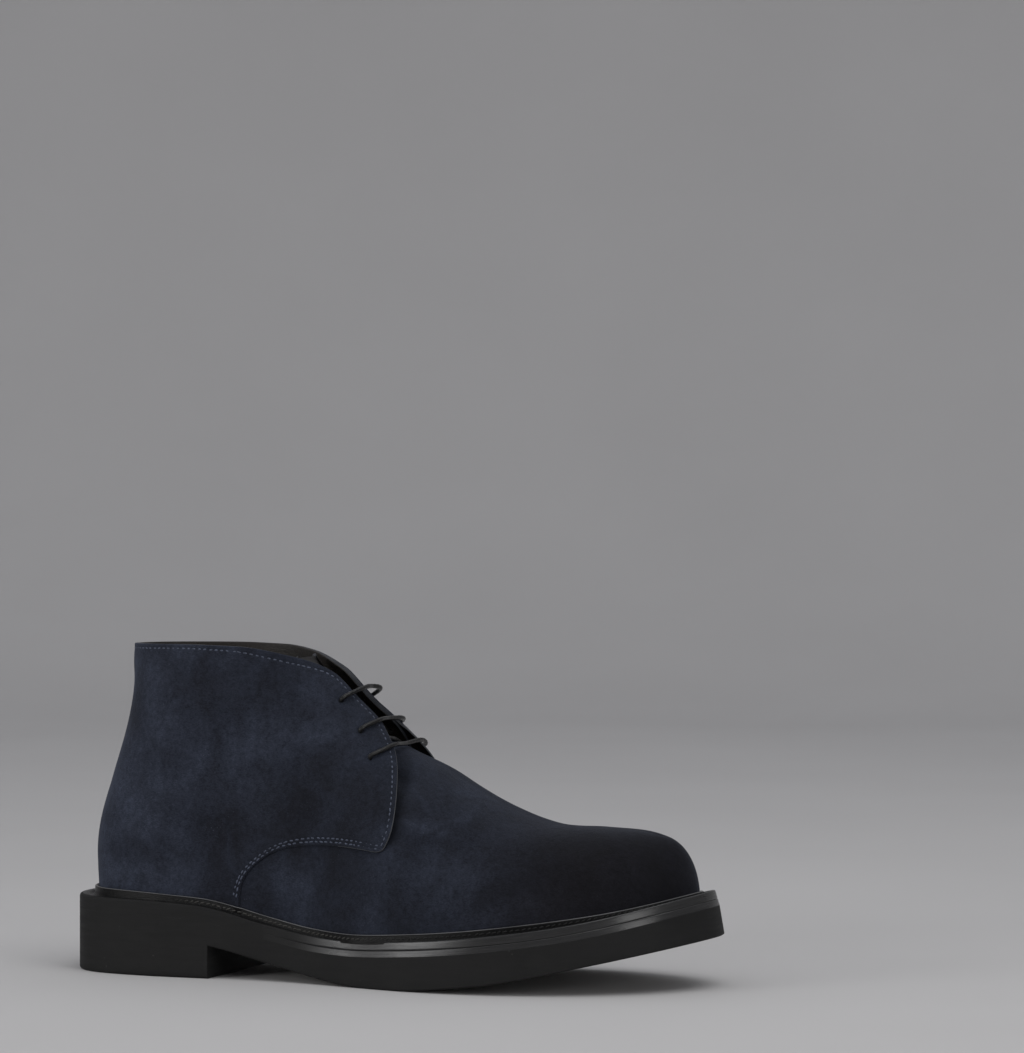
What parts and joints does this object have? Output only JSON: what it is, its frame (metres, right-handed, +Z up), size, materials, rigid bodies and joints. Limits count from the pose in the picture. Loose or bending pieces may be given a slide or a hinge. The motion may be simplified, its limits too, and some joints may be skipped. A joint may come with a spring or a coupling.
{
  "type": "chukka boot",
  "caption": "Right ankle boot in suede with an open collar, a laced throat over a leather tongue, and a storm-welted rubber sole with a low heel.",
  "frame": {"origin": "under the middle of the boot's bounding box, on the ground", "axes": "+X towards the toe, +Y towards the inner side of the foot, +Z up"},
  "size_m": [0.302, 0.1118, 0.1485],
  "materials": {
    "rubber": "matte black moulded rubber, a little dusty",
    "midsole": "black rubber, brushed to a soft shine along the forepart",
    "welt": "black waxed welt with a stitched groove",
    "insole": "dark brown leather sock",
    "suede": "navy suede with a brushed, blotchy nap",
    "lining": "near-black smooth leather",
    "lace": "black waxed round cord"
  },
  "bodies": {
    "root": {"outsole": "rubber", "midsole": "midsole", "welt": "welt", "insole": "insole", "upper": "suede", "tongue": "lining", "lace": "lace"}
  },
  "joints": []
}
